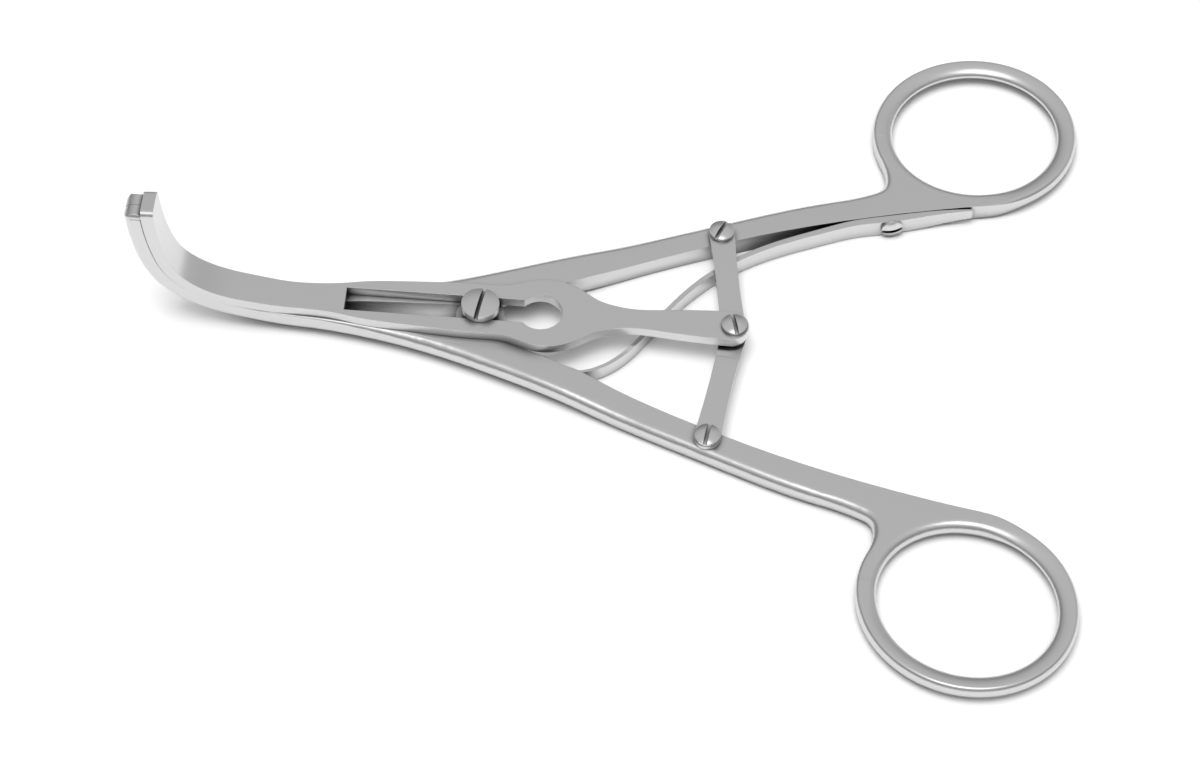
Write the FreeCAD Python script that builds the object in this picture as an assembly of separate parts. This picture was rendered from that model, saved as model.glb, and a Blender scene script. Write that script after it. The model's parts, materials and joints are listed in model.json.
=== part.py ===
import FreeCAD, Part
import math
import os

from FreeCAD import Vector

# A three-bladed tracheal dilator, in millimetres.
# +X runs from the pivot to the finger rings, +Z is up, and the blades curve up to +Z.
# The origin is on the pivot axis, in the plane of the underside.
# Two mirrored arms carry the side blades. They lap at the pivot and don't cross, so
# squeezing the rings spreads the side blades. Two toggle links then push the plate of
# the centre blade back along its slot, and a leaf spring opens the rings again.

# Arms: bent up under the plate, from the handles to the pivot
ARM_THICK = 3.1
STEP_START_X = 8.0
STEP_END_X = 26.0
SEAM_HALF_GAP = 0.03
SEAM_END_X = -26.0
ARM_TAPER_START_X = 50.0
ARM_TAPER_END_X = 64.0

# Radius along an arm's outer edges, upper and lower
ROUNDING_ABOVE = [(-27.0, 0.2), (-8.0, 1.4), (8.0, 1.4), (26.0, 1.25), (57.3, 1.25), (59.0, 0.6)]
ROUNDING_BELOW = [(-27.0, 1.2), (-8.0, 1.4), (8.0, 1.4), (26.0, 1.25), (57.3, 1.25), (59.0, 0.6)]
ROUNDING_BREAKS = [-8.0, 57.3]

# Pivot lap: two round lugs, each half an arm thick
LUG_RADIUS = 3.6
LUG_RECESS_GAP = 0.4
LAP_GAP = 0.05
LAP_CUT_BACK = [(1.8, 0.0), (1.8, 3.9), (4.85, 4.95), (8.35, 6.3), (12.4, 7.95), (15.5, 8.9), (15.5, 5.0)]

# Finger rings, oval, at +Y and mirrored at -Y
RING_X = 72.65
RING_Y = 43.9
RING_SEMI_LONG = 14.43
RING_SEMI_SHORT = 13.68
RING_ANGLE = 28.4
RING_WIDTH = 2.95
RING_HEIGHT = 2.65
RING_OUTER_ROUNDING = 0.6
RING_INNER_ROUNDING = 1.25
WEB_END_ANGLE = 176.0
FOOT_END_ANGLE = 250.0

# The concave face of the centre blade from the side: x, and its rise over the plate
BLADE_ROOT_X = -27.0
BLADE_STATIONS = [
    (-33.0, 0.70),
    (-37.8, 1.80),
    (-41.6, 3.70),
    (-44.2, 6.35),
    (-45.7, 10.25),
    (-46.6, 15.95),
    (-46.8, 18.95),
]
CENTRE_BLADE_THICK_TIP = 1.9
SIDE_BLADE_THICK_TIP = 2.5
SIDE_BLADE_HALF_TIP = 2.3
SIDE_TIP_DROP = 0.95
SIDE_TIP_SLOPE = 0.6
SIDE_TIP_DOME = 0.45
SIDE_TIP_CORNER = 1.1
CENTRE_BLADE_HALF_TIP = 2.4
CENTRE_TIP_ROUNDING = 0.9

# Plate of the centre blade
PLATE_THICK = 1.55
PLATE_GAP = 0.05
TAIL_GAP = 0.2
SLOT_HALF = 2.1
SLOT_END_X = -20.0
KEYHOLE_X = 8.9
KEYHOLE_RADIUS = 3.25
TAIL_END_RADIUS = 2.65
TAIL_END_SETBACK = 0.5

# Pivot screw
PIVOT_HEAD_RADIUS = 2.82
PIVOT_HEAD_RIM = 1.1
PIVOT_HEAD_CROWN = 0.4
PIVOT_SHANK_RADIUS = 1.5
PIVOT_FOOT_RADIUS = 2.2
RUNNING_GAP = 0.05

# Toggle links on top of the arms, half-lapped where they meet under the plate's tail
HANDLE_PIN_X = 34.7
HANDLE_PIN_Y = 19.3
CENTRE_PIN_X = 37.5
LINK_THICK = 0.6
LINK_GAP = 0.05
LINK_END_RADIUS = 1.98
LINK_WAIST_HALF = 1.68
LINK_LAP_LENGTH = 4.6
LAP_PLAY = 0.04

# Screws of the links, and the free play of the links on the centre pin
LINK_HEAD_RADIUS = 1.88
LINK_HEAD_RIM = 0.5
LINK_HEAD_CROWN = 0.45
HANDLE_SCREW_RADIUS = 0.8
HANDLE_SCREW_DEPTH = 2.0
CENTRE_PIN_RADIUS = 0.6
CENTRE_PIN_FOOT_RADIUS = 1.35
CENTRE_PIN_FOOT_HEIGHT = 0.35
FREE_PLAY_INWARD = 1.62
FREE_PLAY_OUTWARD = 0.62
FREE_PLAY_SIDE = 0.33
SEAT_GAP = 0.02

# Screwdriver slots
DRIVER_SLOT_WIDTH = 0.6
DRIVER_SLOT_SHARE = 0.65
PIVOT_SLOT_ANGLE = 81.5
FAR_SLOT_ANGLE = 65.0
NEAR_SLOT_ANGLE = 82.0
CENTRE_SLOT_ANGLE = 105.0
LEAF_SLOT_ANGLE = 20.0

# Leaf spring, thick at its screw and thin at both ends
LEAF_SEAT_GAP = 0.05
LEAF_SCREW_LEVEL = 1.75
LEAF_SCREW_X = 60.0
LEAF_SCREW_RADIUS = 0.8
LEAF_SCREW_DEPTH = 2.4
LEAF_HEAD_RADIUS = 1.65
LEAF_HEAD_RIM = 0.45
LEAF_HEAD_CROWN = 0.45

# Plan outline of the far arm. The inner side runs from the end of the blades' seam to
# the foot of the ring, the outer side from behind the tip to the ring's web.
INNER_SIDE = [
    (-19.6, 0.83),
    (-12.0, 1.32),
    (-3.0, 1.7),
    (0.2, 2.0),
    (4.4, 3.6),
    (12.4, 7.45),
    (24.0, 13.05),
    (32.6, 16.75),
    (43.4, 20.8),
    (57.0, 24.9),
    (67.0, 27.3),
]
OUTER_SIDE = [
    (-42.0, 2.45),
    (-32.0, 2.6),
    (-24.0, 3.0),
    (-17.5, 3.9),
    (-8.0, 6.0),
    (0.7, 8.75),
    (12.9, 13.3),
    (25.0, 18.2),
    (36.9, 22.95),
    (48.6, 27.3),
    (57.3, 30.3),
    (58.6, 31.2),
    (59.15, 32.7),
    (59.1, 34.4),
]

# Half of the plate's plan outline, from behind the tip to the end of the tail
PLATE_SIDE = [
    (-42.0, 2.6),
    (-32.0, 2.55),
    (-24.0, 2.55),
    (-20.5, 2.95),
    (-17.5, 3.5),
    (-12.3, 4.0),
    (-6.4, 4.37),
    (-0.5, 4.6),
    (3.7, 4.75),
    (6.1, 5.5),
    (9.2, 6.27),
    (12.7, 5.72),
    (15.1, 4.45),
    (17.3, 3.0),
    (19.7, 2.2),
    (22.5, 1.8),
    (28.0, 2.13),
    (33.0, 2.52),
]

# Leaf spring: distance from the arm and thickness along its seat, then its free part's
# side towards the arm with the thickness there, and its outline from the side
LEAF_SEATED = [
    (72.4, 0.4, 0.35),
    (66.0, LEAF_SEAT_GAP, 0.9),
    (LEAF_SCREW_X, LEAF_SEAT_GAP, 1.25),
    (55.0, LEAF_SEAT_GAP, 1.1),
]
LEAF_FREE = [
    (50.0, 22.2, 0.95),
    (43.6, 19.2, 0.85),
    (37.3, 15.4, 0.8),
    (31.9, 10.7, 0.75),
    (27.4, 4.9, 0.7),
    (23.6, -1.0, 0.65),
    (20.9, -4.6, 0.6),
    (18.0, -7.0, 0.5),
    (15.2, -8.05, 0.4),
]
LEAF_SIDE = [
    (10.0, 0.25),
    (58.0, 0.05),
    (66.0, 0.4),
    (73.0, 1.35),
    (73.0, 3.0),
    (40.0, 3.0),
    (22.0, 2.6),
    (10.0, 2.6),
]

LINK_BOTTOM = ARM_THICK + LINK_GAP
LINK_TOP = LINK_BOTTOM + LINK_THICK
PIVOT_TOP = LINK_TOP + TAIL_GAP
PIVOT_UNDER = PIVOT_TOP - ARM_THICK
PLATE_BOTTOM = PIVOT_TOP + PLATE_GAP
PLATE_TOP = PLATE_BOTTOM + PLATE_THICK
LAP_LEVEL = PIVOT_TOP - ARM_THICK / 2
RING_TOP = ARM_THICK
RING_UNDER = RING_TOP - RING_HEIGHT
TIP_X = BLADE_STATIONS[-1][0]
TIP_TOP = PLATE_TOP + BLADE_STATIONS[-1][1]
BEHIND_TIP_X = TIP_X - CENTRE_BLADE_THICK_TIP - SIDE_BLADE_THICK_TIP - 1.0
OUTSIDE = 120.0


def vec(x, y, z=0.0):
    return Vector(x, y, z)


def flat(points):
    return [vec(x, y) for x, y in points]


def curve_through(points, start=None, end=None):
    """A smooth curve through the points, with a set direction at its start or its end."""
    free = vec(1, 0)
    inner = len(points) - 2
    ways = [start or free] + [free] * inner + [end or free]
    held = [start is not None] + [False] * inner + [end is not None]
    curve = Part.BSplineCurve()
    curve.interpolate(Points=points, Tangents=ways, TangentFlags=held)
    return curve


def lines(points):
    return [Part.LineSegment(a, b).toShape() for a, b in zip(points, points[1:])]


def face_of(edges):
    return Part.Face(Part.Wire(Part.__sortEdges__(edges)))


def cylinder(radius, low, high, x=0.0, y=0.0):
    return Part.makeCylinder(radius, high - low, vec(x, y, low))


def upright(face):
    """A plan outline drawn out through every height."""
    face.translate(vec(0, 0, -OUTSIDE))
    return face.extrude(vec(0, 0, 2 * OUTSIDE))


def sideways(face):
    """A side outline drawn out through every width."""
    face.translate(vec(0, -OUTSIDE, 0))
    return face.extrude(vec(0, 2 * OUTSIDE, 0))


def mirrored(shape):
    return shape.mirror(vec(0, 0, 0), vec(0, 1, 0))


# Curve of the three blades

def root_curve(points):
    """A side curve through the points, level where it leaves the flat root."""
    return curve_through(points, start=vec(-1, 0))


def blade_layer(root_depth, tip_depth):
    """Points at an evenly changing depth under the centre blade's concave face."""
    points = [vec(BLADE_ROOT_X, 0, PLATE_TOP)]
    points += [vec(x, 0, PLATE_TOP + rise) for x, rise in BLADE_STATIONS]
    curve = root_curve(points)
    start = curve.FirstParameter
    total = curve.length()
    layer = []
    for number, point in enumerate(points):
        at = curve.parameter(point)
        share = curve.length(start, at) / total if number else 0.0
        along = curve.tangent(at)[0]
        under = vec(along.z, 0, -along.x)
        if under.z > 0:
            under = under * -1
        layer.append(point + under * (root_depth + (tip_depth - root_depth) * share))
    return layer


# Arms

def up_to(curve, height):
    """The curve from its start to a height, as an edge, and the point it ends at."""
    point = curve.intersect(Part.Plane(vec(0, 0, height), vec(0, 0, 1)))[0][0]
    end = vec(point.X, point.Y, point.Z)
    return curve.toShape(curve.FirstParameter, curve.parameter(end)), end


def bent(x_from, z_from, x_to, z_to):
    """An S-shaped step between two level lines of the side view."""
    start = vec(x_from, 0, z_from)
    end = vec(x_to, 0, z_to)
    reach = vec((x_to - x_from) / 2, 0)
    step = Part.BezierCurve()
    step.setPoles([start, start + reach, end - reach, end])
    return step.toShape()


def arm_from_side():
    """Side view of an arm: blade, bend under the plate, and a taper into the ring."""
    gap = PLATE_GAP
    top = blade_layer(PLATE_THICK + gap, CENTRE_BLADE_THICK_TIP + gap)
    deep_tip = CENTRE_BLADE_THICK_TIP + gap + SIDE_BLADE_THICK_TIP
    bottom = blade_layer(PLATE_THICK + gap + ARM_THICK, deep_tip)
    upper, upper_end = up_to(root_curve(top), TIP_TOP - SIDE_TIP_DROP)
    lower, lower_end = up_to(root_curve(bottom), TIP_TOP - SIDE_TIP_DROP - SIDE_TIP_SLOPE)
    crown = (upper_end + lower_end) / 2 + vec(0, 0, SIDE_TIP_DOME)
    edges = [upper, lower, Part.Arc(upper_end, crown, lower_end).toShape()]
    edges.append(bent(STEP_START_X, PIVOT_TOP, STEP_END_X, ARM_THICK))
    edges.append(bent(STEP_START_X, PIVOT_UNDER, STEP_END_X, 0))
    edges += lines([top[0], vec(STEP_START_X, 0, PIVOT_TOP)])
    edges += lines([bottom[0], vec(STEP_START_X, 0, PIVOT_UNDER)])
    edges += lines([
        vec(STEP_END_X, 0, ARM_THICK),
        vec(OUTSIDE, 0, RING_TOP),
        vec(OUTSIDE, 0, RING_UNDER),
        vec(ARM_TAPER_END_X, 0, RING_UNDER),
        vec(ARM_TAPER_START_X, 0, 0),
        vec(STEP_END_X, 0, 0),
    ])
    return sideways(face_of(edges))


def ring_point(angle):
    """A point of the far ring's outer oval and the way round at it, by the oval's angle."""
    turn = math.radians(angle)
    long_radius = RING_SEMI_LONG + RING_WIDTH / 2
    short_radius = RING_SEMI_SHORT + RING_WIDTH / 2
    point = vec(long_radius * math.cos(turn), short_radius * math.sin(turn))
    way = vec(-long_radius * math.sin(turn), short_radius * math.cos(turn))
    to_ring = FreeCAD.Rotation(vec(0, 0, 1), RING_ANGLE)
    return vec(RING_X, RING_Y) + to_ring.multVec(point), to_ring.multVec(way)


def outer_side_curve():
    end, way = ring_point(WEB_END_ANGLE)
    points = [vec(BEHIND_TIP_X, SIDE_BLADE_HALF_TIP)] + flat(OUTER_SIDE) + [end]
    return curve_through(points, end=way * -1)


def inner_side_curve():
    end, way = ring_point(FOOT_END_ANGLE)
    return curve_through(flat(INNER_SIDE) + [end], end=way)


def arm_from_above():
    """Plan view of the far arm, ending inside the ring."""
    outer = outer_side_curve()
    inner = inner_side_curve()
    breaks = [outer.parameter(vec(x, dict(OUTER_SIDE)[x])) for x in ROUNDING_BREAKS]
    stops = [outer.FirstParameter] + breaks + [outer.LastParameter]
    seam = [outer.StartPoint, vec(BEHIND_TIP_X, SEAM_HALF_GAP), vec(SEAM_END_X, SEAM_HALF_GAP)]
    edges = lines(seam + [inner.StartPoint])
    edges.append(inner.toShape())
    edges += [outer.toShape(low, high) for low, high in zip(stops, stops[1:])]
    edges += lines([outer.EndPoint, vec(RING_X, RING_Y), inner.EndPoint])
    return upright(face_of(edges))


def on_outer_side(curve, point):
    level = vec(point.x, point.y)
    return (curve.value(curve.parameter(level)) - level).Length < 0.01


def rounding_radius(x, stations):
    """Radius at x, changing evenly between the stations and level beyond them."""
    if x <= stations[0][0]:
        return stations[0][1]
    for (low_x, low), (high_x, high) in zip(stations, stations[1:]):
        if x <= high_x:
            return low + (high - low) * (x - low_x) / (high_x - low_x)
    return stations[-1][1]


def rounding_rows(solid):
    """Edge number and the radii at its two ends, for the arm's outer edges."""
    curve = outer_side_curve()
    web_start = ROUNDING_BREAKS[-1]
    rows = []
    for number, edge in enumerate(solid.Edges, 1):
        ends = [vertex.Point for vertex in edge.Vertexes]
        middle = edge.valueAt((edge.FirstParameter + edge.LastParameter) / 2)
        if not all(on_outer_side(curve, point) for point in ends + [middle]):
            continue
        low_x, high_x = sorted(end.x for end in ends)
        crosswise = high_x < TIP_X - 1.0 or high_x - low_x < 0.01
        if crosswise:
            continue
        blade = high_x < BLADE_ROOT_X + 1.0
        on_top = low_x > TIP_X - CENTRE_BLADE_THICK_TIP - 1.0 if blade else middle.z > LAP_LEVEL
        if low_x > STEP_START_X:
            on_top = middle.z > ARM_THICK / 2
        stations = ROUNDING_ABOVE if on_top else ROUNDING_BELOW
        radii = [rounding_radius(end.x, stations) for end in ends]
        if low_x >= web_start - 0.01:
            radii = [stations[-2][1] if abs(end.x - web_start) < 0.01 else stations[-1][1] for end in ends]
        rows.append((number, radii[0], radii[-1]))
    return rows


def rounded(solid, rows):
    """The solid with each listed edge rounded by its own radii."""
    document = FreeCAD.newDocument("rounding")
    base = document.addObject("Part::Feature", "base")
    base.Shape = solid
    fillet = document.addObject("Part::Fillet", "fillet")
    fillet.Base = base
    fillet.Edges = rows
    document.recompute()
    result = fillet.Shape.copy()
    FreeCAD.closeDocument(document.Name)
    return result


def ring_disc(growth, low, high):
    """The oval of the far ring, grown or shrunk from its centre line, between two levels."""
    along = RING_SEMI_LONG + growth
    across = RING_SEMI_SHORT + growth
    oval = Part.Ellipse(vec(0, 0), max(along, across), min(along, across)).toShape()
    oval.rotate(vec(0, 0), vec(0, 0, 1), RING_ANGLE if along >= across else RING_ANGLE + 90.0)
    oval.translate(vec(RING_X, RING_Y, low))
    return Part.Face(Part.Wire([oval])).extrude(vec(0, 0, high - low))


def ring():
    """An oval bar, fully rounded inside and with small edges outside."""
    bar = ring_disc(RING_WIDTH / 2, RING_UNDER, RING_TOP)
    bar = bar.cut(ring_disc(-RING_WIDTH / 2, -OUTSIDE, OUTSIDE))
    middle_length = max(edge.Length for edge in ring_disc(0.0, 0.0, 1.0).Edges)
    rims = [edge for edge in bar.Edges if edge.isClosed()]
    outer = [edge for edge in rims if edge.Length > middle_length]
    inner = [edge for edge in rims if edge.Length < middle_length]
    return bar.makeFillet(RING_OUTER_ROUNDING, outer).makeFillet(RING_INNER_ROUNDING, inner)


def tip_corner():
    """What is taken off the outer corner of a side blade's end, seen from the front."""
    radius = SIDE_TIP_CORNER
    top = TIP_TOP - SIDE_TIP_DROP + SIDE_TIP_DOME
    block = Part.makeBox(OUTSIDE, OUTSIDE, OUTSIDE)
    block.translate(vec(-OUTSIDE + TIP_X, SIDE_BLADE_HALF_TIP - radius, top - radius))
    bore = Part.makeCylinder(radius, 2 * OUTSIDE, vec(-OUTSIDE, SIDE_BLADE_HALF_TIP - radius, top - radius), vec(1, 0))
    return block.cut(bore)


def arm_blank():
    """Blade, shank and ring of the far arm, before the pivot lap and the holes."""
    body = arm_from_side().common(arm_from_above())
    body = rounded(body, rounding_rows(body)).cut(tip_corner())
    return body.cut(ring_disc(0.0, -OUTSIDE, OUTSIDE)).fuse(ring())


def cut_back(low, high):
    """A prism beside the far arm's lug, between two levels."""
    outline = Part.Face(Part.makePolygon(flat(LAP_CUT_BACK + LAP_CUT_BACK[:1])))
    outline.translate(vec(0, 0, low))
    return outline.extrude(vec(0, 0, high - low))


def lapped(blank, lug_low, lug_high, cut_low, cut_high):
    """The arm with its own half-thick lug, cleared for the other arm's lug."""
    recess = cylinder(LUG_RADIUS + LUG_RECESS_GAP, cut_low, cut_high)
    arm = blank.cut(recess).fuse(cylinder(LUG_RADIUS, lug_low, lug_high))
    return arm.cut(cylinder(PIVOT_SHANK_RADIUS + RUNNING_GAP, -OUTSIDE, OUTSIDE))


def handle_screw_hole(side):
    low = ARM_THICK - HANDLE_SCREW_DEPTH
    radius = HANDLE_SCREW_RADIUS + SEAT_GAP
    return cylinder(radius, low, OUTSIDE, HANDLE_PIN_X, side * HANDLE_PIN_Y)


def far_arm():
    split = LAP_LEVEL + LAP_GAP / 2
    arm = lapped(arm_blank().cut(cut_back(-1.0, split)), split, PIVOT_TOP, -1.0, split)
    arm = arm.cut(handle_screw_hole(1))
    return arm.cut(leaf_screw_shape(LEAF_SCREW_RADIUS + SEAT_GAP, 0.0, -LEAF_SCREW_DEPTH - SEAT_GAP))


def near_arm():
    split = LAP_LEVEL - LAP_GAP / 2
    high = PIVOT_TOP + 1.0
    arm = lapped(mirrored(arm_blank().cut(cut_back(split, high))), PIVOT_UNDER, split, split, high)
    return arm.cut(handle_screw_hole(-1))


# Centre blade

def plate_from_side():
    top = blade_layer(0.0, 0.0)
    bottom = blade_layer(PLATE_THICK, CENTRE_BLADE_THICK_TIP)
    edges = [root_curve(top).toShape(), root_curve(bottom).toShape()]
    edges += lines([top[-1], bottom[-1]])
    edges += lines([top[0], vec(OUTSIDE, 0, PLATE_TOP), vec(OUTSIDE, 0, PLATE_BOTTOM), bottom[0]])
    return sideways(face_of(edges))


def plate_from_above():
    side = [vec(BEHIND_TIP_X, CENTRE_BLADE_HALF_TIP)] + flat(PLATE_SIDE)
    end_x = CENTRE_PIN_X - TAIL_END_SETBACK
    side.append(vec(end_x, TAIL_END_RADIUS))
    upper = curve_through(side, start=vec(1, 0), end=vec(1, 0)).toShape()
    end = Part.Arc(side[-1], vec(end_x + TAIL_END_RADIUS, 0), vec(end_x, -TAIL_END_RADIUS))
    edges = [upper, mirrored(upper), end.toShape()]
    edges += lines([side[0], vec(BEHIND_TIP_X, -CENTRE_BLADE_HALF_TIP)])
    return upright(face_of(edges))


def centre_blade():
    blade = plate_from_side().common(plate_from_above())
    corners = []
    for edge in blade.Edges:
        ends = [vertex.Point for vertex in edge.Vertexes]
        at_tip = all(end.z > PLATE_TOP + BLADE_STATIONS[-1][1] - 1.0 for end in ends)
        if at_tip and abs(ends[0].y - ends[-1].y) < 0.1:
            corners.append(edge)
    blade = blade.makeFillet(CENTRE_TIP_ROUNDING, corners)
    slot = Part.makeBox(KEYHOLE_X - SLOT_END_X, 2 * SLOT_HALF, OUTSIDE, vec(SLOT_END_X, -SLOT_HALF, 0))
    blade = blade.cut(slot).cut(cylinder(KEYHOLE_RADIUS, 0, OUTSIDE, KEYHOLE_X))
    return blade.cut(cylinder(CENTRE_PIN_RADIUS + SEAT_GAP, 0, OUTSIDE, CENTRE_PIN_X))


# Screws

def slotted_head(radius, rim, crown, low, slot_angle, x=0.0, y=0.0):
    """A head with an upright rim, a domed crown and a screwdriver slot across it."""
    sphere_radius = (radius ** 2 + crown ** 2) / (2 * crown)
    high = low + rim + crown
    head = cylinder(radius, low, high, x, y)
    head = head.common(Part.makeSphere(sphere_radius, vec(x, y, high - sphere_radius)))
    depth = DRIVER_SLOT_SHARE * (rim + crown)
    slot = Part.makeBox(4 * radius, DRIVER_SLOT_WIDTH, depth * 2)
    slot.translate(vec(-2 * radius, -DRIVER_SLOT_WIDTH / 2, 0))
    slot.rotate(vec(0, 0), vec(0, 0, 1), slot_angle)
    slot.translate(vec(x, y, high - depth))
    return head.cut(slot)


def pivot_screw():
    """Head over the plate, shoulder in its slot, shank through both lugs, foot below."""
    shoulder_low = PLATE_BOTTOM
    head_low = PLATE_TOP + PLATE_GAP
    screw = cylinder(PIVOT_FOOT_RADIUS, 0, PIVOT_UNDER - PLATE_GAP)
    screw = screw.fuse(cylinder(PIVOT_SHANK_RADIUS, 0, shoulder_low))
    screw = screw.fuse(cylinder(SLOT_HALF - RUNNING_GAP, shoulder_low, head_low))
    head = slotted_head(PIVOT_HEAD_RADIUS, PIVOT_HEAD_RIM, PIVOT_HEAD_CROWN, head_low, PIVOT_SLOT_ANGLE)
    return screw.fuse(head)


def link_head(low, slot_angle, x, y=0.0):
    return slotted_head(LINK_HEAD_RADIUS, LINK_HEAD_RIM, LINK_HEAD_CROWN, low, slot_angle, x, y)


def handle_screw(side, slot_angle):
    """Threaded into the arm, with its head just over the link."""
    place = (HANDLE_PIN_X, side * HANDLE_PIN_Y)
    head_low = LINK_TOP + LINK_GAP
    shank_low = ARM_THICK - HANDLE_SCREW_DEPTH + SEAT_GAP
    shank = cylinder(HANDLE_SCREW_RADIUS, shank_low, head_low, *place)
    return shank.fuse(link_head(head_low, slot_angle, *place))


def centre_pin():
    """Head on the plate's tail, shank through both links, riveted foot under them."""
    foot_top = LINK_BOTTOM - SEAT_GAP
    foot_low = foot_top - CENTRE_PIN_FOOT_HEIGHT
    pin = cylinder(CENTRE_PIN_FOOT_RADIUS, foot_low, foot_top, CENTRE_PIN_X)
    pin = pin.fuse(cylinder(CENTRE_PIN_RADIUS, foot_low, PLATE_TOP, CENTRE_PIN_X))
    return pin.fuse(link_head(PLATE_TOP, CENTRE_SLOT_ANGLE, CENTRE_PIN_X))


# Toggle links

def link_outline(length):
    """A link from the handle screw at the origin to the centre pin along +X."""
    r = LINK_END_RADIUS
    edges = []
    for side in (1, -1):
        waist = vec(length / 2, side * LINK_WAIST_HALF)
        edges.append(Part.Arc(vec(0, side * r), waist, vec(length, side * r)).toShape())
    edges.append(Part.Arc(vec(0, r), vec(-r, 0), vec(0, -r)).toShape())
    edges.append(Part.Arc(vec(length, r), vec(length + r, 0), vec(length, -r)).toShape())
    return face_of(edges)


def play_slot(length):
    """The centre pin's slot: longer than the pin, along the link."""
    half = CENTRE_PIN_RADIUS + FREE_PLAY_SIDE
    low_x = length - FREE_PLAY_INWARD - CENTRE_PIN_RADIUS + half
    high_x = length + FREE_PLAY_OUTWARD + CENTRE_PIN_RADIUS - half
    slot = Part.makeBox(high_x - low_x, 2 * half, OUTSIDE, vec(low_x, -half, 0))
    slot = slot.fuse(cylinder(half, 0, OUTSIDE, low_x))
    return slot.fuse(cylinder(half, 0, OUTSIDE, high_x))


def link(side, keep_low, keep_high):
    """One toggle link. At the centre pin only the heights from low to high are left."""
    reach = vec(CENTRE_PIN_X - HANDLE_PIN_X, -side * HANDLE_PIN_Y)
    length = reach.Length
    outline = link_outline(length)
    outline.translate(vec(0, 0, LINK_BOTTOM))
    bar = outline.extrude(vec(0, 0, LINK_THICK))
    bar = bar.cut(cylinder(HANDLE_SCREW_RADIUS + RUNNING_GAP, 0, OUTSIDE)).cut(play_slot(length))
    lap_x = length - LINK_LAP_LENGTH
    for low, high in ((0, keep_low), (keep_high, LINK_TOP + 1.0)):
        bar = bar.cut(Part.makeBox(OUTSIDE, 4 * LINK_END_RADIUS, high - low, vec(lap_x, -2 * LINK_END_RADIUS, low)))
    bar.rotate(vec(0, 0), vec(0, 0, 1), math.degrees(math.atan2(reach.y, reach.x)))
    bar.translate(vec(HANDLE_PIN_X, side * HANDLE_PIN_Y))
    return bar


def far_link():
    return link(1, LINK_BOTTOM + LINK_THICK / 2 + LAP_PLAY / 2, LINK_TOP)


def near_link():
    return link(-1, LINK_BOTTOM, LINK_BOTTOM + LINK_THICK / 2 - LAP_PLAY / 2)


# Leaf spring

def seat_point(x):
    """A point on the arm's inner side, and the directions along it and away from it."""
    curve = inner_side_curve()
    plane = Part.Plane(vec(x, 0), vec(1, 0))
    point = curve.intersect(plane)[0][0]
    seat = vec(point.X, point.Y)
    along = curve.tangent(curve.parameter(seat))[0]
    return seat, along, vec(along.y, -along.x)


def leaf_spring():
    arm_side = []
    free_side = []
    thicks = []
    for x, distance, thick in LEAF_SEATED:
        seat, along, away = seat_point(x)
        arm_side.append(seat + away * distance)
        thicks.append(thick)
    for x, y, thick in LEAF_FREE:
        arm_side.append(vec(x, y))
        thicks.append(thick)
    curve = curve_through(arm_side)
    for point, thick in zip(arm_side, thicks):
        along = curve.tangent(curve.parameter(point))[0]
        free_side.append(point + vec(-along.y, along.x) * thick)
    edges = [curve.toShape(), curve_through(free_side).toShape()]
    edges += lines([arm_side[0], free_side[0]]) + lines([arm_side[-1], free_side[-1]])
    side = Part.Face(Part.makePolygon([vec(x, 0, z) for x, z in LEAF_SIDE + LEAF_SIDE[:1]]))
    leaf = upright(face_of(edges)).common(sideways(side))
    return leaf.cut(leaf_screw_shape(LEAF_SCREW_RADIUS + SEAT_GAP, OUTSIDE / 4, -LEAF_SCREW_DEPTH))


def leaf_screw_frame():
    """Seat point of the leaf's screw and the direction its head faces."""
    seat, along, away = seat_point(LEAF_SCREW_X)
    return vec(seat.x, seat.y, LEAF_SCREW_LEVEL), away


def leaf_screw_shape(radius, high, low):
    """A cylinder on the leaf screw's axis, measured out from the arm's inner side."""
    seat, away = leaf_screw_frame()
    return Part.makeCylinder(radius, high - low, seat + away * low, away)


def leaf_screw():
    """Through the leaf spring into the far arm's inner side."""
    seat, away = leaf_screw_frame()
    leaf_thick = {x: thick for x, distance, thick in LEAF_SEATED}[LEAF_SCREW_X]
    head_low = leaf_thick + 2 * LEAF_SEAT_GAP
    head = slotted_head(LEAF_HEAD_RADIUS, LEAF_HEAD_RIM, LEAF_HEAD_CROWN, head_low, LEAF_SLOT_ANGLE)
    head = head.fuse(cylinder(LEAF_SCREW_RADIUS, -LEAF_SCREW_DEPTH, head_low))
    head.Placement = FreeCAD.Placement(seat, FreeCAD.Rotation(vec(0, 0, 1), away))
    return head


def build_all():
    return {
        "far_arm": far_arm(),
        "near_arm": near_arm(),
        "centre_blade": centre_blade(),
        "far_link": far_link(),
        "near_link": near_link(),
        "leaf_spring": leaf_spring(),
        "pivot_screw": pivot_screw(),
        "centre_pin": centre_pin(),
        "far_handle_screw": handle_screw(1, FAR_SLOT_ANGLE),
        "near_handle_screw": handle_screw(-1, NEAR_SLOT_ANGLE),
        "leaf_screw": leaf_screw(),
    }


def main():
    os.makedirs("parts", exist_ok=True)
    for name, shape in build_all().items():
        box = shape.BoundBox
        print(name, "valid", shape.isValid(), "solids", len(shape.Solids), "volume", round(shape.Volume, 2),
              "z", round(box.ZMin, 2), round(box.ZMax, 2))
        shape.exportStep("parts/" + name + ".step")


main()
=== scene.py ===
import json
import math

import bmesh
import bpy
from mathutils import Matrix, Vector

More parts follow.
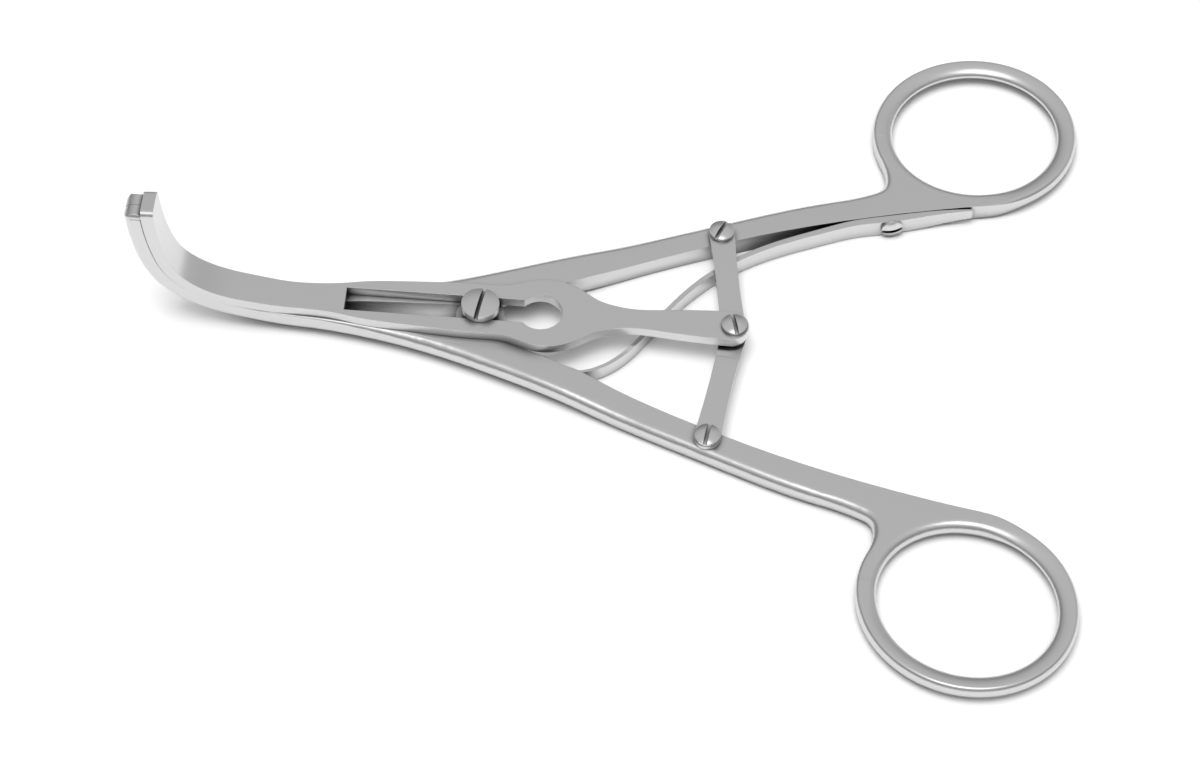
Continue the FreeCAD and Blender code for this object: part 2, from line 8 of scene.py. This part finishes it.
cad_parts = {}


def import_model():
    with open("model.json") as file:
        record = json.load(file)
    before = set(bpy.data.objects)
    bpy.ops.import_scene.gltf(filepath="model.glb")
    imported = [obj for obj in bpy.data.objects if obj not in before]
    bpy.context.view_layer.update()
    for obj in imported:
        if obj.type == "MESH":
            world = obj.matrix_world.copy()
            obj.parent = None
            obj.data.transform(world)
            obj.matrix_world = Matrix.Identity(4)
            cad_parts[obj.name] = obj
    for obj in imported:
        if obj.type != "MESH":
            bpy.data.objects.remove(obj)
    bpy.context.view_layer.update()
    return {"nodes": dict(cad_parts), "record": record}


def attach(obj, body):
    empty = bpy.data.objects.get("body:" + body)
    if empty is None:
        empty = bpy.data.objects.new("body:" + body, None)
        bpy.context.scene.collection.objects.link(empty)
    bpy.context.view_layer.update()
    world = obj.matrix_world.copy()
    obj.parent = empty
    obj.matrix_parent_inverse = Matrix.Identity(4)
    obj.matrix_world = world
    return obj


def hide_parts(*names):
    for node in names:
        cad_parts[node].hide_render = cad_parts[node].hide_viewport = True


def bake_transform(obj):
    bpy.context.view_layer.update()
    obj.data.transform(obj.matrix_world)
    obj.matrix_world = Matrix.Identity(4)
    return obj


# Camera, in metres: where it stands and its right, up and backward directions
CAMERA_PLACE = (0.03521, -0.33255, 0.41909)
CAMERA_RIGHT = (0.99698, 0.07543, 0.01843)
CAMERA_UP = (-0.07085, 0.78659, 0.61340)
CAMERA_BACK = (0.03177, -0.61286, 0.78956)
LENS_MM = 108.17
SENSOR_MM = 36.0
CLIP_START = 0.01
CLIP_END = 10.0

# Room light, as shares of white, each lobe with its direction and its inner and outer angles
HORIZON_LEVEL = 0.26
ROOM_LEVEL = 0.70
ROOM_LOBE = ((0.0, 0.0, 1.0), 36, 82)
OVERHEAD_LEVEL = 3.2
OVERHEAD_LOBE = ((0.0, -0.38, 1.0), 2, 24)
RIGHT_LEVEL = 0.62
RIGHT_LOBE = ((0.78, 0.61, 0.12), 8, 45)

# Sun
SUN_STRENGTH = 1.5
SUN_SPREAD_DEG = 35.0
SUN_DIRECTION = (-0.15, -0.1, 1.0)

# Floor, a hair under the part so that the two don't share a plane
FLOOR_HALF = 1.5
FLOOR_SHADE = 0.92
FLOOR_DROP = 0.00005

# Steel
STEEL_TINT = (0.63, 0.63, 0.63, 1.0)
SATIN_ROUGHNESS = 0.30
SPRING_ROUGHNESS = 0.28
SCREW_ROUGHNESS = 0.24
SHEEN_SPREAD = 0.012
EDGE_RADIUS = 0.00008
EDGE_SAMPLES = 6

# Clouds per metre along each axis in the steel's sheen
LONG_CLOUDS = (150, 40, 40)
LINK_CLOUDS = (60, 120, 60)
EVEN_CLOUDS = (150, 150, 150)

# Painted shade in crevices, darkening the steel's colour where other pieces lie close: how deep they
# start, how open the darkest and the first clear place are, and the share of the steel's colour left in
# them
CREVICE_DEPTH = 0.003
CREVICE_SAMPLES = 16
CREVICE_DARKEST = 0.3
CREVICE_CLEAR = 0.85
DEEP_SHADE = 0.10
LINK_SHADE = 0.55

# Meshes taken from the frame: the distance at which points merge, and the angle that stays sharp
MERGE_DISTANCE = 0.000002
LEAF_SHARP_DEG = 35.0
ARM_SHARP_DEG = 30.0

# Finger rings: the oval of the bar's centre line on the far arm, and the bar's size
RING_CENTRE = (0.07265, 0.0439)
RING_SEMI_LONG = 0.01443
RING_SEMI_SHORT = 0.01368
RING_TILT_DEG = 28.4
RING_HALF_WIDTH = 0.001475
RING_HALF_HEIGHT = 0.001325
RING_TOP = 0.0031

# Section of the bar in the frame, which the swept bar has at both ends
FRAME_OUTER_ROUNDING = 0.0006
FRAME_INNER_ROUNDING = 0.00125
ARM_EDGE = 0.00004

# Section of the real bar, which the swept bar has between its ends
RIDGE_FROM_OUTSIDE = 0.0007
FULL_HALF_HEIGHT = 0.00115

# Free part of the ring, in degrees of the oval
RING_FIRST_DEG = -109.9
RING_LAST_DEG = 158.0
RING_BLEND_DEG = 28.0
RING_STEP_DEG = 3.0

# How far the swept bar reaches into the arm, and how much thinner it is there
RING_OVERLAP_DEG = 1.5
RING_SHRINK = 0.000008

# Which faces count as the bar's, in half widths, and which as near a cut
BAR_REACH = 1.15
CUT_REACH_DEG = 20.0
CUT_DISTANCE = 0.000001


def add(tree, kind, place=(0, 0)):
    node = tree.nodes.new(kind)
    node.location = place
    return node


def value(node, name, number):
    node.inputs[name].default_value = number


def empty_tree(owner):
    owner.use_nodes = True
    owner.node_tree.nodes.clear()
    return owner.node_tree


# Materials

def clouds(tree, per_metre):
    """A faint cloud over the surface, as a noise from 0 to 1."""
    coordinates = add(tree, "ShaderNodeTexCoord", (-1200, 0))
    mapping = add(tree, "ShaderNodeMapping", (-1000, 0))
    value(mapping, "Scale", per_metre)
    noise = add(tree, "ShaderNodeTexNoise", (-800, 0))
    value(noise, "Scale", 1.0)
    value(noise, "Detail", 2.0)
    value(noise, "Roughness", 0.6)
    tree.links.new(coordinates.outputs["Object"], mapping.inputs["Vector"])
    tree.links.new(mapping.outputs["Vector"], noise.inputs["Vector"])
    return noise.outputs["Fac"]


def painted_crevice_shade(tree, shade):
    """The steel's colour with painted shade: darkened to a share where the surface lies deep between
    other pieces.
    """
    depth = add(tree, "ShaderNodeAmbientOcclusion", (-800, 500))
    depth.samples = CREVICE_SAMPLES
    value(depth, "Distance", CREVICE_DEPTH)
    share = add(tree, "ShaderNodeMapRange", (-600, 500))
    value(share, "From Min", CREVICE_DARKEST)
    value(share, "From Max", CREVICE_CLEAR)
    tree.links.new(depth.outputs["AO"], share.inputs["Value"])
    mix = add(tree, "ShaderNodeMix", (-350, 500))
    mix.data_type = "RGBA"
    value(mix, "A", [shade * part for part in STEEL_TINT[:3]] + [1.0])
    value(mix, "B", STEEL_TINT)
    tree.links.new(share.outputs["Result"], mix.inputs["Factor"])
    return mix.outputs["Result"]


def uneven_roughness(tree, roughness, per_metre):
    """The roughness, a little more or less from cloud to cloud."""
    spread = add(tree, "ShaderNodeMapRange", (-500, 150))
    value(spread, "From Min", 0.3)
    value(spread, "From Max", 0.7)
    value(spread, "To Min", roughness - SHEEN_SPREAD)
    value(spread, "To Max", roughness + SHEEN_SPREAD)
    tree.links.new(clouds(tree, per_metre), spread.inputs["Value"])
    return spread.outputs["Result"]


def edge_normal(tree):
    """The surface's direction, with softened edges."""
    edge = add(tree, "ShaderNodeBevel", (-500, -250))
    edge.samples = EDGE_SAMPLES
    value(edge, "Radius", EDGE_RADIUS)
    return edge.outputs["Normal"]


def steel(name, roughness, per_metre, shade):
    """Satin steel: softened edges, painted shade in crevices and a slightly uneven sheen."""
    material = bpy.data.materials.new(name)
    tree = empty_tree(material)
    output = add(tree, "ShaderNodeOutputMaterial", (400, 0))
    shader = add(tree, "ShaderNodeBsdfPrincipled", (100, 0))
    value(shader, "Metallic", 1.0)
    # The base colour carries painted shade, darkest where the steel lies deep between pieces
    tree.links.new(painted_crevice_shade(tree, shade), shader.inputs["Base Color"])
    tree.links.new(uneven_roughness(tree, roughness, per_metre), shader.inputs["Roughness"])
    tree.links.new(edge_normal(tree), shader.inputs["Normal"])
    tree.links.new(shader.outputs["BSDF"], output.inputs["Surface"])
    return material


def make_materials():
    # The last number of each is the share of its colour left in the painted shade of its crevices
    return {
        "arm_steel": steel("arm_steel", SATIN_ROUGHNESS, LONG_CLOUDS, DEEP_SHADE),
        "plate_steel": steel("plate_steel", SATIN_ROUGHNESS, LONG_CLOUDS, DEEP_SHADE),
        "link_steel": steel("link_steel", SATIN_ROUGHNESS, LINK_CLOUDS, LINK_SHADE),
        "spring_steel": steel("spring_steel", SPRING_ROUGHNESS, EVEN_CLOUDS, LINK_SHADE),
        "screw_steel": steel("screw_steel", SCREW_ROUGHNESS, EVEN_CLOUDS, DEEP_SHADE),
    }


def dress(frame, materials):
    """Puts each node's own material on it."""
    slots = {row["node"]: row["material_slot"] for row in frame["record"]["subparts"]}
    for node, piece in frame["nodes"].items():
        piece.data.materials.clear()
        piece.data.materials.append(materials[slots[node]])


# Pieces made from a node's own mesh

def copy_of(source, name):
    """A second object with a copy of the node's mesh, in the same place."""
    mesh = source.data.copy()
    mesh.name = name
    piece = bpy.data.objects.new(name, mesh)
    bpy.context.collection.objects.link(piece)
    piece.matrix_world = source.matrix_world.copy()
    return piece


def open_mesh(mesh, place):
    """The mesh for editing, moved by a matrix, with the points along its seams merged."""
    shell = bmesh.new()
    shell.from_mesh(mesh)
    shell.transform(place)
    bmesh.ops.remove_doubles(shell, verts=shell.verts, dist=MERGE_DISTANCE)
    return shell


def close_mesh(shell, mesh, material, sharp_deg):
    """Writes the edited mesh back, smooth between its sharp edges.

    The stored directions no longer fit a mesh whose points were merged, so they come off.
    """
    for face in shell.faces:
        face.smooth = True
    shell.to_mesh(mesh)
    shell.free()
    if "custom_normal" in mesh.attributes:
        mesh.attributes.remove(mesh.attributes["custom_normal"])
    mesh.materials.clear()
    mesh.materials.append(material)
    mesh.set_sharp_from_angle(angle=math.radians(sharp_deg))


def bent_leaf(frame, material):
    """The leaf spring between the two arms, as a smooth-shaded copy of the frame's mesh."""
    leaf = copy_of(frame["nodes"]["leaf_spring"], "leaf_strip")
    shell = open_mesh(leaf.data, Matrix.Identity(4))
    close_mesh(shell, leaf.data, material, LEAF_SHARP_DEG)
    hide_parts("leaf_spring")
    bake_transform(leaf)


# Finger rings of a fuller rounding than the frame's. All places are on the far arm's ring, and
# side is 1 for the far arm and -1 for the near arm, its mirror image.

def oval_angle(x, y):
    """Place of a point round the ring: its angle in degrees and its share of the oval."""
    tilt = math.radians(RING_TILT_DEG)
    dx = x - RING_CENTRE[0]
    dy = y - RING_CENTRE[1]
    along = (dx * math.cos(tilt) + dy * math.sin(tilt)) / RING_SEMI_LONG
    across = (dy * math.cos(tilt) - dx * math.sin(tilt)) / RING_SEMI_SHORT
    return math.degrees(math.atan2(across, along)), math.hypot(along, across)


def oval_place(angle_deg, outward):
    """The point at an angle of the oval, moved outward from the bar's centre line."""
    tilt = math.radians(RING_TILT_DEG)
    turn = math.radians(angle_deg)
    along = (RING_SEMI_LONG + outward) * math.cos(turn)
    across = (RING_SEMI_SHORT + outward) * math.sin(turn)
    x = RING_CENTRE[0] + along * math.cos(tilt) - across * math.sin(tilt)
    y = RING_CENTRE[1] + along * math.sin(tilt) + across * math.cos(tilt)
    return x, y


def oval_way(angle_deg):
    """The direction of the bar's centre line at an angle."""
    low = Vector(oval_place(angle_deg - 0.5, 0.0))
    high = Vector(oval_place(angle_deg + 0.5, 0.0))
    return (high - low).normalized()


def arc_points(centre, radii, start_deg, end_deg, count):
    points = []
    for number in range(count):
        turn = math.radians(start_deg + (end_deg - start_deg) * number / (count - 1))
        across = centre[0] + radii[0] * math.cos(turn)
        rise = centre[1] + radii[1] * math.sin(turn)
        points.append((across, rise))
    return points


def frame_section(outer):
    """The frame's bar above its middle: an edge of that radius outside, a quarter round inside."""
    inner = FRAME_INNER_ROUNDING
    edge_centre = (RING_HALF_WIDTH - outer, RING_HALF_HEIGHT - outer)
    round_centre = (inner - RING_HALF_WIDTH, RING_HALF_HEIGHT - inner)
    side = [(RING_HALF_WIDTH, edge_centre[1] * number / 3) for number in range(3)]
    edge = arc_points(edge_centre, (outer, outer), 0, 90, 7)
    top_width = round_centre[0] - edge_centre[0]
    top = [(edge_centre[0] + top_width * number / 4, RING_HALF_HEIGHT) for number in range(1, 4)]
    return side + edge + top + arc_points(round_centre, (inner, inner), 90, 180, 9)


def full_section():
    """The real bar above its middle: two elliptic curves that meet at a ridge near the outside."""
    ridge = RIDGE_FROM_OUTSIDE
    inward = 2 * RING_HALF_WIDTH - ridge
    centre = (RING_HALF_WIDTH - ridge, 0.0)
    outside = arc_points(centre, (ridge, RING_HALF_HEIGHT), 0, 90, 10)
    inside = arc_points(centre, (inward, RING_HALF_HEIGHT), 90, 180, 13)
    return outside + inside[1:]


def closed_section(outer, share, shrink):
    """The whole section, from the frame's at share 0 to the real bar's at share 1.

    The real bar is less high. Its top stays level with the frame's.
    """
    upper = []
    for (u0, v0), (u1, v1) in zip(frame_section(outer), full_section()):
        upper.append((u0 + (u1 - u0) * share, v0 + (v1 - v0) * share))
    upper[-1] = (upper[-1][0], 0.0)
    lower = [(u, -v) for u, v in reversed(upper[1:-1])]
    ratio = 1.0 - shrink / RING_HALF_HEIGHT
    flatter = 1.0 - share * (1.0 - FULL_HALF_HEIGHT / RING_HALF_HEIGHT)
    lift = RING_HALF_HEIGHT * (1.0 - flatter)
    return [(u * ratio, v * ratio * flatter + lift) for u, v in upper + lower]


def bar_row(shell, side, angle):
    """The points of the bar's section at one angle of the oval, added to the mesh being built."""
    inside = min(angle - RING_FIRST_DEG, RING_LAST_DEG - angle)
    share = min(max(inside / RING_BLEND_DEG, 0.0), 1.0)
    share = share * share * (3 - 2 * share)
    shrink = RING_SHRINK if inside < RING_STEP_DEG else 0.0
    outer = ARM_EDGE if angle < 0 else FRAME_OUTER_ROUNDING
    row = []
    for outward, rise in closed_section(outer, share, shrink):
        x, y = oval_place(angle, outward)
        row.append(shell.verts.new((x, side * y, RING_TOP - RING_HALF_HEIGHT + rise)))
    return row


def ring_bar(shell, side):
    """Sweeps the bar round the free part of the ring into the mesh being built."""
    first = RING_FIRST_DEG - RING_OVERLAP_DEG
    last = RING_LAST_DEG + RING_OVERLAP_DEG
    count = round((last - first) / RING_STEP_DEG)
    rows = [bar_row(shell, side, first + (last - first) * number / count) for number in range(count + 1)]
    size = len(rows[0])
    faces = [rows[0][::-1], rows[-1]]
    for low, high in zip(rows, rows[1:]):
        for number in range(size):
            after = (number + 1) % size
            faces.append([low[number], low[after], high[after], high[number]])
    for face in faces:
        shell.faces.new(face if side < 0 else face[::-1])


def on_ring(face, side):
    """Angle of a face round its ring, or None where it isn't on the bar."""
    middle = face.calc_center_median()
    angle, share = oval_angle(middle.x, side * middle.y)
    half_width = RING_HALF_WIDTH / RING_SEMI_SHORT
    return angle if abs(share - 1.0) < BAR_REACH * half_width else None


def near_cut(shell, side, cut):
    """The bar's faces near an angle of the oval, with their edges and points."""
    parts = set()
    for face in shell.faces:
        angle = on_ring(face, side)
        if angle is not None and abs((angle - cut + 180) % 360 - 180) < CUT_REACH_DEG:
            parts.add(face)
            parts.update(face.edges)
            parts.update(face.verts)
    return list(parts)


def open_ring(shell, side):
    """Cuts the frame's bar at both ends of its free part, takes that out and closes the cuts."""
    for cut in (RING_FIRST_DEG, RING_LAST_DEG):
        x, y = oval_place(cut, 0.0)
        way = oval_way(cut)
        bmesh.ops.bisect_plane(
            shell, geom=near_cut(shell, side, cut), dist=CUT_DISTANCE,
            plane_co=(x, side * y, 0.0), plane_no=(way.x, side * way.y, 0.0),
        )
    free = []
    for face in shell.faces:
        angle = on_ring(face, side)
        if angle is not None and RING_FIRST_DEG < angle < RING_LAST_DEG:
            free.append(face)
    bmesh.ops.delete(shell, geom=free, context="FACES")
    rims = [edge for edge in shell.edges if edge.is_boundary]
    bmesh.ops.holes_fill(shell, edges=rims, sides=0)


def dressed_arm(frame, node, side, material):
    """The frame's arm, with the free part of its ring swept again."""
    source = frame["nodes"][node]
    arm = copy_of(source, node + "_dressed")
    shell = open_mesh(arm.data, source.matrix_world)
    open_ring(shell, side)
    ring_bar(shell, side)
    shell.transform(source.matrix_world.inverted())
    close_mesh(shell, arm.data, material, ARM_SHARP_DEG)
    weights = arm.modifiers.new("weights", "WEIGHTED_NORMAL")
    weights.keep_sharp = True
    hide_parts(node)
    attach(arm, node)


# Floor, light and camera

def make_floor():
    mesh = bpy.data.meshes.new("floor")
    half = FLOOR_HALF
    corners = [(-half, -half, 0), (half, -half, 0), (half, half, 0), (-half, half, 0)]
    mesh.from_pydata(corners, [], [(0, 1, 2, 3)])
    floor = bpy.data.objects.new("floor", mesh)
    bpy.context.collection.objects.link(floor)
    floor.location = (0, 0, -FLOOR_DROP)
    material = bpy.data.materials.new("floor")
    tree = empty_tree(material)
    output = add(tree, "ShaderNodeOutputMaterial", (300, 0))
    shader = add(tree, "ShaderNodeBsdfDiffuse", (0, 0))
    value(shader, "Color", (FLOOR_SHADE, FLOOR_SHADE, FLOOR_SHADE, 1))
    tree.links.new(shader.outputs["BSDF"], output.inputs["Surface"])
    mesh.materials.append(material)


def lobe(tree, coordinates, direction, inner_deg, outer_deg):
    """1 near a direction of the room, falling smoothly to 0 at the outer angle."""
    dot = add(tree, "ShaderNodeVectorMath")
    dot.operation = "DOT_PRODUCT"
    dot.inputs[1].default_value = Vector(direction).normalized()
    tree.links.new(coordinates.outputs["Generated"], dot.inputs[0])
    ramp = add(tree, "ShaderNodeMapRange")
    ramp.interpolation_type = "SMOOTHSTEP"
    value(ramp, "From Min", math.cos(math.radians(outer_deg)))
    value(ramp, "From Max", math.cos(math.radians(inner_deg)))
    tree.links.new(dot.outputs["Value"], ramp.inputs["Value"])
    return ramp.outputs["Result"]


def blend_level(tree, share, below, level):
    """A mixing node that puts a grey level over the one below, by a share."""
    mix = add(tree, "ShaderNodeMix")
    mix.data_type = "FLOAT"
    value(mix, "A", below)
    value(mix, "B", level)
    tree.links.new(share, mix.inputs["Factor"])
    return mix


def make_room():
    """A room that is grey at the horizon, lighter above, with a bright patch overhead."""
    world = bpy.data.worlds.new("room")
    bpy.context.scene.world = world
    tree = empty_tree(world)
    coordinates = add(tree, "ShaderNodeTexCoord")
    room = blend_level(tree, lobe(tree, coordinates, *ROOM_LOBE), HORIZON_LEVEL, ROOM_LEVEL)
    over = blend_level(tree, lobe(tree, coordinates, *OVERHEAD_LOBE), 0.0, OVERHEAD_LEVEL)
    right = blend_level(tree, lobe(tree, coordinates, *RIGHT_LOBE), 0.0, RIGHT_LEVEL)
    tree.links.new(room.outputs["Result"], over.inputs["A"])
    tree.links.new(over.outputs["Result"], right.inputs["A"])
    background = add(tree, "ShaderNodeBackground")
    output = add(tree, "ShaderNodeOutputWorld")
    tree.links.new(right.outputs["Result"], background.inputs["Color"])
    tree.links.new(background.outputs["Background"], output.inputs["Surface"])


def make_sun():
    light = bpy.data.lights.new("sun", "SUN")
    light.energy = SUN_STRENGTH
    light.angle = math.radians(SUN_SPREAD_DEG)
    sun = bpy.data.objects.new("sun", light)
    bpy.context.collection.objects.link(sun)
    sun.visible_glossy = False
    sun.rotation_euler = Vector(SUN_DIRECTION).to_track_quat("Z", "Y").to_euler()


def make_camera():
    data = bpy.data.cameras.new("camera")
    data.sensor_width = SENSOR_MM
    data.lens = LENS_MM
    data.clip_start = CLIP_START
    data.clip_end = CLIP_END
    camera = bpy.data.objects.new("camera", data)
    bpy.context.collection.objects.link(camera)
    rows = Matrix((CAMERA_RIGHT, CAMERA_UP, CAMERA_BACK)).transposed().to_4x4()
    camera.matrix_world = Matrix.Translation(Vector(CAMERA_PLACE)) @ rows
    bpy.context.scene.camera = camera


def main():
    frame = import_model()
    materials = make_materials()
    dress(frame, materials)
    bent_leaf(frame, materials["spring_steel"])
    dressed_arm(frame, "far_arm", 1, materials["arm_steel"])
    dressed_arm(frame, "near_arm", -1, materials["arm_steel"])
    make_floor()
    make_room()
    make_sun()
    make_camera()
    bpy.context.scene.view_settings.view_transform = "Standard"


main()
